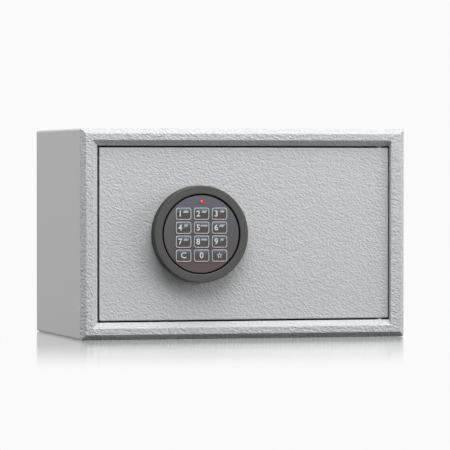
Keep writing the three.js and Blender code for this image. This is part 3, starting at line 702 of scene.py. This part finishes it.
class SafeCabinetSettings(bpy.types.PropertyGroup):
    paint: StringProperty(
        name="Paint", description="sRGB colour of the textured paint's ridges", default="#D8DADB"
    )
    paint_dark: StringProperty(
        name="Paint in the hollows", description="sRGB colour between the ridges", default="#C0C3C5"
    )
    side_paint: StringProperty(
        name="Side paint", description="sRGB colour of the smooth paint", default="#CFCFCF"
    )
    grain: FloatProperty(
        name="Grain", description="Distance between the paint's wrinkles", default=1.6 * MM, unit="LENGTH"
    )
    grain_stretch: FloatProperty(
        name="Grain stretch", description="How much longer than wide a wrinkle is", default=1.7
    )
    grain_lean: FloatProperty(
        name="Grain lean", description="How far the wrinkles fall towards the right",
        default=math.radians(30), subtype="ANGLE",
    )
    grain_depth: FloatProperty(
        name="Grain depth", description="Depth of the paint's wrinkles", default=1.0 * MM, unit="LENGTH"
    )
    frame_build: FloatProperty(
        name="Frame build", description="How much deeper the wrinkles are on the bent frame", default=1.8
    )
    edge: FloatProperty(
        name="Edge", description="Width of broken sheet edges", default=0.3 * MM, unit="LENGTH"
    )


class SafeKeypadSettings(bpy.types.PropertyGroup):
    ring: StringProperty(name="Ring", description="sRGB colour of the knob's ring", default="#595958")
    # Film colours: the film's own dark grey with a painted reflection, blue grey at the top and warm grey
    # at the foot
    film_high: StringProperty(
        name="Film, top", description="sRGB colour at the film's top", default="#5E616C"
    )
    film_middle: StringProperty(
        name="Film, middle", description="sRGB colour a little below the film's middle", default="#4E4D50"
    )
    film_low: StringProperty(
        name="Film, foot", description="sRGB colour at the film's foot", default="#564443"
    )
    digit: FloatProperty(name="Digit", description="Height of a digit", default=6.6 * MM, unit="LENGTH")
    letter: FloatProperty(
        name="Letter", description="Height of a small letter's line", default=3.6 * MM, unit="LENGTH"
    )
    line: FloatProperty(
        name="Line", description="Width of the line round a key", default=0.65 * MM, unit="LENGTH"
    )
    crown: FloatProperty(
        name="Crown", description="Rise of a key's middle", default=0.45 * MM, unit="LENGTH"
    )
    well_gap: FloatProperty(
        name="Well gap", description="Gap between the ring's bore and the keypad",
        default=1.1 * MM, unit="LENGTH",
    )
    well_floor: FloatProperty(
        name="Well floor", description="Thickness of the ring's floor", default=2.5 * MM, unit="LENGTH"
    )
    hub: FloatProperty(
        name="Hub", description="Radius of the hole in the ring's floor", default=13.3 * MM, unit="LENGTH"
    )
    rim: FloatProperty(
        name="Rim", description="Width of the ring's outer chamfer", default=0.9 * MM, unit="LENGTH"
    )
    lip: FloatProperty(
        name="Lip", description="Width of the bore's chamfer", default=0.65 * MM, unit="LENGTH"
    )


class SafeStageSettings(bpy.types.PropertyGroup):
    backdrop: FloatProperty(name="Backdrop", description="Brightness of the backdrop", default=0.955)
    ambient: FloatProperty(name="Ambient", description="Diffuse light from all round", default=0.42)
    overhead: FloatProperty(name="Overhead", description="Softbox above", default=32.0, unit="POWER")
    right: FloatProperty(name="Right", description="Softbox at the right", default=20.0, unit="POWER")
    left: FloatProperty(name="Left", description="Softbox at the rear left", default=8.8, unit="POWER")
    mirror: FloatProperty(
        name="Mirror", description="Strength of the floor's reflection beside the safe", default=0.73,
        subtype="FACTOR",
    )
    mirror_reach: FloatProperty(
        name="Mirror reach", description="Where the floor's reflection has faded out",
        default=0.5, unit="LENGTH",
    )
    lens: FloatProperty(name="Lens", description="Focal length of the camera, mm", default=278.3)
    eye: FloatVectorProperty(
        name="Eye", description="Where the camera stands", default=(-0.881, -3.2915, 0.162),
        subtype="TRANSLATION",
    )
    turn: FloatProperty(
        name="Turn", description="How far the camera is turned to the right",
        default=math.radians(15.1), subtype="ANGLE",
    )
    tilt: FloatProperty(
        name="Tilt", description="How far the camera looks down", default=math.radians(0.93),
        subtype="ANGLE",
    )


# ---------------------------------------------------------------- stage


def softbox(name, place, target, size, power):
    light = bpy.data.lights.new(name, "AREA")
    light.shape = "RECTANGLE"
    light.size, light.size_y = size
    light.energy = power
    obj = bpy.data.objects.new(name, light)
    obj.location = place
    obj.rotation_euler = (Vector(target) - Vector(place)).to_track_quat("-Z", "Y").to_euler()
    bpy.context.scene.collection.objects.link(obj)


class SAFE_OT_stage(bpy.types.Operator):
    """Sets the pale floor, the soft lights and the camera"""

    bl_idname = "safe.stage"
    bl_label = "Stage"

    def execute(self, context):
        stage = context.scene.safe_stage
        context.scene.view_settings.view_transform = "Standard"
        self.backdrop(context, stage)
        self.floor(stage)
        middle = (0.0, 0.0, 0.1)
        for name, (place, size) in SOFTBOXES.items():
            softbox(f"{name}_softbox", place, middle, size, getattr(stage, name))
        self.camera(context, stage)
        return {"FINISHED"}

    def backdrop(self, context, stage):
        """A white surround for the camera and for gloss, and a dim one for diffuse light."""
        world = bpy.data.worlds.new("studio")
        world.use_nodes = True
        tree = world.node_tree
        tree.nodes.clear()
        rays = add_node(tree, "ShaderNodeLightPath")
        dim = add_node(tree, "ShaderNodeBackground", {"Strength": stage.ambient, "Color": (1, 1, 1, 1)})
        white = add_node(tree, "ShaderNodeBackground", {"Strength": stage.backdrop, "Color": (1, 1, 1, 1)})
        mix = add_node(
            tree, "ShaderNodeMixShader",
            {0: rays.outputs["Is Diffuse Ray"], 1: white.outputs[0], 2: dim.outputs[0]},
        )
        add_node(tree, "ShaderNodeOutputWorld", {"Surface": mix.outputs[0]})
        context.scene.world = world

    def floor(self, stage):
        """Satin white acrylic, lit through from below: it mirrors the safe softly at its foot."""
        bm = bmesh.new()
        bmesh.ops.create_grid(bm, x_segments=1, y_segments=1, size=20.0)
        floor = mesh_object("floor", bm)
        floor.data.transform(Matrix.Translation((0, 0, -0.2 * MM)))
        material = bpy.data.materials.new("satin_white_acrylic")
        material.use_nodes = True
        tree = material.node_tree
        tree.nodes.clear()
        rays = add_node(tree, "ShaderNodeLightPath")
        glow = add_node(
            tree, "ShaderNodeMapRange",
            {"Value": rays.outputs["Is Diffuse Ray"], "To Min": stage.backdrop, "To Max": 0.0},
        )
        lit = add_node(tree, "ShaderNodeEmission", {"Strength": glow.outputs["Result"]})
        gloss = add_node(tree, "ShaderNodeBsdfGlossy", {"Color": (1, 1, 1, 1), "Roughness": 0.1})
        mix = add_node(
            tree, "ShaderNodeMixShader",
            {0: self.polish(tree, stage), 1: lit.outputs[0], 2: gloss.outputs[0]},
        )
        add_node(tree, "ShaderNodeOutputMaterial", {"Surface": mix.outputs[0]})
        floor.data.materials.append(material)

    def polish(self, tree, stage):
        """How strongly the floor mirrors: most beside the safe's base and nothing further out."""
        half = (extent("cabinet_wrap") / 2).xy
        coordinates = add_node(tree, "ShaderNodeTexCoord")
        folded = add_node(
            tree, "ShaderNodeVectorMath", {0: coordinates.outputs["Object"]}, operation="ABSOLUTE"
        )
        outside = add_node(
            tree, "ShaderNodeVectorMath",
            {0: folded.outputs[0], 1: (half.x, half.y, 0)}, operation="SUBTRACT",
        )
        beyond = add_node(
            tree, "ShaderNodeVectorMath", {0: outside.outputs[0], 1: (0, 0, 0)}, operation="MAXIMUM"
        )
        away = add_node(tree, "ShaderNodeVectorMath", {0: beyond.outputs[0]}, operation="LENGTH")
        fade = add_node(
            tree, "ShaderNodeMapRange",
            {
                "Value": away.outputs["Value"], "From Max": stage.mirror_reach,
                "To Min": stage.mirror, "To Max": 0.0,
            },
            interpolation_type="SMOOTHSTEP",
        )
        rays = add_node(tree, "ShaderNodeLightPath")
        seen = add_node(
            tree, "ShaderNodeMath", {0: 1.0, 1: rays.outputs["Is Diffuse Ray"]}, operation="SUBTRACT"
        )
        strength = add_node(
            tree, "ShaderNodeMath", {0: fade.outputs["Result"], 1: seen.outputs[0]}, operation="MULTIPLY"
        )
        return strength.outputs[0]

    def camera(self, context, stage):
        camera = bpy.data.cameras.new("camera")
        camera.lens = stage.lens
        camera.sensor_width = 36
        camera.clip_end = 50
        obj = bpy.data.objects.new("camera", camera)
        obj.location = stage.eye
        obj.rotation_euler = (math.pi / 2 - stage.tilt, 0, -stage.turn)
        context.scene.collection.objects.link(obj)
        context.scene.camera = obj


# ---------------------------------------------------------------- cabinet


class SAFE_OT_cabinet(bpy.types.Operator):
    """Dresses the wrapped cabinet, its pressed front, the rear wall and the keepers"""

    bl_idname = "safe.cabinet"
    bl_label = "Cabinet"

    def execute(self, context):
        edge = context.scene.safe_cabinet.edge / MM
        dress("cabinet_wrap", "cabinet", "smooth_paint", 0.2, "cabinet_shell")
        dress("front_frame", "cabinet", "structured_paint", edge, "front_moulding")
        dress("rear_wall", "cabinet", "smooth_paint", edge)
        self.seam()
        # The zinc-plated keepers are drawn near black and matt: painted shade behind the door's gap
        for node in ("strike_plate", "lower_door_stop", "upper_door_stop"):
            obj = dressed_copy(node, f"{node}_finished", edge)
            finish_piece(obj, "cabinet", "zinc_steel", node, material="gap_shade_steel")
        for side in ("left", "right"):
            dress(f"{side}_floor_plug", "cabinet", "black_plastic", 0.15)
            dress(f"{side}_rear_plug", "cabinet", "black_plastic", 0.15)
        for level in ("lower", "upper"):
            dress(f"{level}_hinge_bush", "cabinet", "nylon", 0.1)
        return {"FINISHED"}

    def seam(self):
        size = extent("cabinet_wrap")
        bead = 0.5 * MM
        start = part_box("cabinet_wrap")[0].y
        inset = 2 * (bead + 0.05 * MM)
        seam = grow(
            seam_tree(), "front_weld", width=size.x - inset, height=size.z - inset, corner=2.0 * MM,
            bead=bead, centre=(0.0, start - 0.15 * MM, size.z / 2), material=finish("structured_paint"),
        )
        finish_piece(smooth(seam), "cabinet", "structured_paint")


class SAFE_OT_mat(bpy.types.Operator):
    """Lays the felt mat on the cabinet's floor"""

    bl_idname = "safe.mat"
    bl_label = "Felt mat"

    def execute(self, context):
        obj = dressed_copy("floor_mat", "felt_mat", 0.8)
        finish_piece(obj, "cabinet", "felt", "floor_mat")
        return {"FINISHED"}


# ---------------------------------------------------------------- door


class SAFE_OT_door(bpy.types.Operator):
    """Dresses the door's panel and its hinges"""

    bl_idname = "safe.door"
    bl_label = "Door"

    def execute(self, context):
        dress("door_panel", "door", "structured_paint", 0.0, "door_skin")
        for level in ("lower", "upper"):
            dress(f"{level}_hinge_pin", "door", "zinc_steel", 0.15)
            dress(f"{level}_hinge_block", "door", "zinc_steel", 0.4)
        return {"FINISHED"}


class SAFE_OT_boltwork(bpy.types.Operator):
    """Dresses the bolts, the cam and what carries them"""

    bl_idname = "safe.boltwork"
    bl_label = "Boltwork"

    def execute(self, context):
        for node in ("bolt_guide", "post_bracket", "lock_case"):
            dress(node, "door", "zinc_steel")
        dress("guide_stud", "door", "bright_steel", 0.2)
        dress("post_nut", "door", "brass", 0.3)
        dress("spindle_bush", "door", "black_plastic", 0.2)
        for node in ("spindle_sleeve", "bolt_cam"):
            dress(node, "knob", "zinc_steel", 0.25)
        dress("cam_circlip", "knob", "bright_steel", 0.15)
        dress("bolt_bar", "bolts", "zinc_steel", 0.25)
        for node in ("lower_bolt", "upper_bolt", "drive_pin"):
            dress(node, "bolts", "bright_steel", 0.25)
        dress("lock_plunger", "lock_plunger", "bright_steel", 0.15)
        return {"FINISHED"}


class SAFE_OT_case(bpy.types.Operator):
    """Dresses the inner case, its screws, boards, cells, cover and reset button"""

    bl_idname = "safe.case"
    bl_label = "Inner case"

    def execute(self, context):
        dress("boltwork_case", "door", "smooth_paint", 0.35, "inner_case")
        dress("battery_tray", "door", "black_plastic", 0.3)
        for board in ("main_board", "keypad_board"):
            dress(board, "door", "circuit_board", 0.15)
        for index in range(1, 5):
            dress(f"battery_{index}", "door", "cell_wrap", 0.4, f"cell_{index}")
        dress("keypad_cable", "door", "black_plastic", 0.0)
        dress("battery_cover", "battery_cover", "black_plastic", 0.4)
        # The reset button takes the lens's finish, emission and all: a painted glow, as the button is no
        # lamp
        dress("reset_button", "reset_button", "red_lens", 0.25)
        self.screws()
        self.springs()
        return {"FINISHED"}

    def screws(self):
        """A pan-head screw in each corner of the case, made once and set by a guide mesh."""
        low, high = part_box("boltwork_case")
        inset = 9 * MM
        across = (low.x + inset, high.x - inset)
        upwards = (low.z + inset, high.z - inset)
        guide = bpy.data.meshes.new("screw_guide")
        guide.from_pydata([(x, high.y, z) for x in across for z in upwards], [], [])
        places = build_object("screw_guide", guide)
        head = self.screw_head()
        screws = grow(screw_tree(head, places), "case_screws", material=finish("bright_steel"))
        for helper in (head, places):
            bpy.data.objects.remove(helper)
        finish_piece(screws, "door", "bright_steel")

    def screw_head(self):
        """A domed head with a cross recess, its shank running down the post."""
        shank, flange = 1.9, 4.0
        profile = [
            (0.0, -8.0), (shank, -8.0), (shank, 0.2), (flange, 0.2),
            (flange, 0.7), (3.4, 1.5), (2.2, 2.0), (0.0, 2.2),
        ]
        head = revolve("screw_head", profile, Vector((0, 0, 0)), 24)
        for turn in (0, math.pi / 2):
            bm = bmesh.new()
            bmesh.ops.create_cube(bm, size=1.0)
            bm.transform(Matrix.Rotation(turn, 4, "Y") @ Matrix.Diagonal((3.6 * MM, 1.6 * MM, 0.8 * MM, 1)))
            bm.transform(Matrix.Translation((0, 2.1 * MM, 0)))
            slot = mesh_object("slot", bm)
            carve = head.modifiers.new("slot", "BOOLEAN")
            carve.object = slot
            carve.solver = "EXACT"
            bake_modifiers(head)
            bpy.data.objects.remove(slot)
        return head

    def springs(self):
        """Contact springs at the lower end of the cells, sitting on the tray's floor."""
        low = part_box("battery_1")[0]
        cells = centre("battery_1")
        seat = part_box("battery_tray")[0].z + 1.9 * MM
        springs = grow(
            spring_tree(), "contact_springs", first=(cells.x, cells.y, seat),
            height=low.z - seat - 0.4 * MM, material=finish("bright_steel"),
        )
        finish_piece(springs, "door", "bright_steel")


# ---------------------------------------------------------------- knob and keypad


class SAFE_OT_knob(bpy.types.Operator):
    """Turns the knob's ring"""

    bl_idname = "safe.knob"
    bl_label = "Knob ring"

    def execute(self, context):
        axis = centre("knob_ring")
        low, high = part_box("knob_ring")
        radius = (high.x - low.x) / 2 / MM
        front, back = low.y / MM, high.y / MM
        pad = context.scene.safe_keypad
        bore = well_radius() / MM
        hub, floor, rim, lip = pad.hub / MM, pad.well_floor / MM, pad.rim / MM, pad.lip / MM
        body = [
            (hub, back), (radius - rim, back), (radius, back - rim), (radius, front + rim),
            (radius - rim, front), (bore + lip, front), (bore, front + lip),
            (bore, back - floor), (hub, back - floor),
        ]
        ring = revolve("knob_grip", rounded(body, 0.25, 3), axis, 192)
        finish_piece(ring, "knob", "knob_plastic", "knob_ring")
        return {"FINISHED"}


class SAFE_OT_keypad(bpy.types.Operator):
    """Dresses the keypad's housing, film and status lens"""

    bl_idname = "safe.keypad"
    bl_label = "Keypad"

    def execute(self, context):
        dress("keypad_housing", "door", "black_plastic", 0.3)
        dress("keypad_face", "door", "keypad_film", 0.15, "keypad_front")
        lens = centre("status_lens")
        low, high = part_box("status_lens")
        radius = (high.x - low.x) / 2 / MM
        front, back = low.y / MM, high.y / MM
        dome_rise, steps = 0.9, 6
        profile = [(0.0, back), (radius, back), (radius, front + dome_rise)]
        for k in range(1, steps + 1):
            angle = math.pi / 2 * k / steps
            profile.append((radius * math.cos(angle), front + dome_rise * (1 - math.sin(angle))))
        dome = revolve("status_dome", profile, lens, 48)
        finish_piece(dome, "door", "red_lens", "status_lens")
        return {"FINISHED"}


def key_cap(name, node, crown):
    """A rounded cap: straight sides, a softened rim and a crowned top, facing -Y."""
    low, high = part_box(node)
    middle = centre(node)
    size = high - low
    rim = low.y + crown
    corner, soft = 2.0 * MM, 0.15 * MM
    rings = [(0.0, high.y), (0.0, rim + 2 * soft), (0.4 * soft, rim + 0.08 * MM), (soft, rim)]
    bm = bmesh.new()
    loops = []
    for inset, y in rings:
        outline = rounded_rectangle(size.x - 2 * inset, size.z - 2 * inset, corner - inset)
        loops.append([bm.verts.new((middle.x + x, y, middle.z + z)) for x, z in outline])
    edge = rounded_rectangle(size.x - 2 * soft, size.z - 2 * soft, corner - soft)
    steps, bulge = 8, 0.9 * crown
    for step in range(1, steps):
        share = 1 - step / steps
        y = rim - bulge * (1 - share**2)
        loops.append([bm.verts.new((middle.x + share * x, y, middle.z + share * z)) for x, z in edge])
    for loop, beside in zip(loops, loops[1:]):
        for i in range(len(loop)):
            j = (i + 1) % len(loop)
            bm.faces.new((loop[i], loop[j], beside[j], beside[i]))
    bm.faces.new(loops[0])
    tip = bm.verts.new((middle.x, rim - bulge, middle.z))
    for i in range(len(loops[-1])):
        bm.faces.new((loops[-1][i], loops[-1][(i + 1) % len(loops[-1])], tip))
    cap = smooth(mesh_object(name, bm), 50)
    # rise runs from 0 at the key's foot to 1 at its top; key_plastic paints the key's highlight and
    # reflection by it
    rise = cap.data.attributes.new("rise", "FLOAT", "POINT")
    for vertex, share in zip(cap.data.vertices, rise.data):
        share.value = (vertex.co.z - low.z) / size.z
    return cap


def lettering(name, text, height, place, slant=0.0, weight=0.0):
    """Raised print: text stood up in the plane of the keypad, facing -Y, its middle at place."""
    curve = bpy.data.curves.new(name, "FONT")
    curve.body = text
    curve.size = height
    curve.align_x, curve.align_y = "CENTER", "CENTER"
    curve.shear = slant
    curve.offset = weight
    curve.extrude = PRINT_DEPTH
    curve.resolution_u = 4
    obj = bpy.data.objects.new(name, curve)
    bpy.context.scene.collection.objects.link(obj)
    mesh = bpy.data.meshes.new_from_object(obj.evaluated_get(bpy.context.evaluated_depsgraph_get()))
    bpy.data.objects.remove(obj)
    mesh.transform(Matrix.Translation(place) @ Matrix.Rotation(math.pi / 2, 4, "X"))
    return mesh


def star_outline(radius, place):
    """A five-pointed star drawn as a line."""
    points, line, waist = 10, 0.62, 0.45
    bm = bmesh.new()
    rings = []
    for scale, y in ((1, -PRINT_DEPTH), (line, -PRINT_DEPTH), (line, PRINT_DEPTH), (1, PRINT_DEPTH)):
        ring = []
        for i in range(points):
            reach = radius * scale * (waist if i % 2 else 1)
            angle = math.pi / 2 + 2 * math.pi * i / points
            ring.append(bm.verts.new(place + Vector((reach * math.cos(angle), y, reach * math.sin(angle)))))
        rings.append(ring)
    for k, near in enumerate(rings):
        far = rings[(k + 1) % len(rings)]
        for i in range(points):
            j = (i + 1) % points
            bm.faces.new((near[i], near[j], far[j], far[i]))
    bmesh.ops.recalc_face_normals(bm, faces=bm.faces)
    mesh = bpy.data.meshes.new("star")
    bm.to_mesh(mesh)
    bm.free()
    return mesh


def joined(name, meshes):
    """One object from several meshes."""
    bm = bmesh.new()
    for mesh in meshes:
        bm.from_mesh(mesh)
    return mesh_object(name, bm)


class SAFE_OT_keys(bpy.types.Operator):
    """Makes the twelve keys, each with its line and its print"""

    bl_idname = "safe.keys"
    bl_label = "Keys"

    def execute(self, context):
        pad = context.scene.safe_keypad
        outlines = outline_tree()
        for index, name in enumerate(KEY_NAMES):
            node = f"key_{name}"
            cap = key_cap(f"{node}_cap", node, pad.crown)
            finish_piece(cap, node, "key_plastic", node)
            self.outline(outlines, node, pad)
            self.legend(node, name, index, pad)
        return {"FINISHED"}

    def outline(self, tree, node, pad):
        size = extent(node)
        middle = centre(node)
        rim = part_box(node)[0].y + pad.crown
        inset = pad.line + 0.2 * MM
        line = grow(
            tree, f"{node}_line", width=size.x - inset, height=size.z - inset, corner=2.0 * MM,
            line=pad.line, relief=0.24 * MM, centre=(middle.x, rim - 0.02 * MM, middle.z),
            material=finish("grey_ink"),
        )
        finish_piece(smooth(line), node, "nylon", material="grey_ink")

    def legend(self, node, name, index, pad):
        middle = centre(node)
        whole = Vector((middle.x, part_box(node)[0].y + PRINT_DEPTH + 0.02 * MM, middle.z))
        size = pad.digit * 1.2  # the font's digits fill 1 / 1.2 of its size
        bold = {"weight": 0.09 * MM}
        if name == "star":
            meshes = [star_outline(2.9 * MM, whole)]
        elif name == "clear":
            meshes = [lettering("digit", "C", size, whole, **bold)]
        elif name == "0":
            meshes = [lettering("digit", name, size, whole, **bold)]
        else:
            small = {"slant": 0.3, "weight": 0.06 * MM}
            meshes = [
                lettering("digit", name, size, whole + DIGIT_PLACE, **bold),
                lettering("letters", LETTERS[index], pad.letter, whole + LETTERS_PLACE, **small),
            ]
        legend = joined(f"{node}_print", meshes)
        finish_piece(legend, node, "nylon", material="white_ink")


# ---------------------------------------------------------------- panel and registration


class SAFE_PT_panel(bpy.types.Panel):
    """Lists the safe's pieces in the sidebar"""

    bl_label = "In-room safe"
    bl_idname = "SAFE_PT_panel"
    bl_space_type = "VIEW_3D"
    bl_region_type = "UI"
    bl_category = "Safe"

    def draw(self, context):
        for operator in OPERATORS:
            self.layout.operator(operator.bl_idname)


OPERATORS = (
    SAFE_OT_stage,
    SAFE_OT_cabinet,
    SAFE_OT_mat,
    SAFE_OT_door,
    SAFE_OT_boltwork,
    SAFE_OT_case,
    SAFE_OT_knob,
    SAFE_OT_keypad,
    SAFE_OT_keys,
)
SETTINGS = {
    "safe_cabinet": SafeCabinetSettings,
    "safe_keypad": SafeKeypadSettings,
    "safe_stage": SafeStageSettings,
}


def register():
    for settings in SETTINGS.values():
        bpy.utils.register_class(settings)
    for operator in OPERATORS:
        bpy.utils.register_class(operator)
    bpy.utils.register_class(SAFE_PT_panel)
    for name, settings in SETTINGS.items():
        setattr(bpy.types.Scene, name, PointerProperty(type=settings))


def unregister():
    for name in SETTINGS:
        delattr(bpy.types.Scene, name)
    bpy.utils.unregister_class(SAFE_PT_panel)
    for operator in reversed(OPERATORS):
        bpy.utils.unregister_class(operator)
    for settings in reversed(SETTINGS.values()):
        bpy.utils.unregister_class(settings)


def main():
    register()
    bpy.ops.safe.stage()
    bpy.ops.safe.cabinet()
    bpy.ops.safe.mat()
    bpy.ops.safe.door()
    bpy.ops.safe.boltwork()
    bpy.ops.safe.case()
    bpy.ops.safe.knob()
    bpy.ops.safe.keypad()
    bpy.ops.safe.keys()


if __name__ == "__main__":
    main()
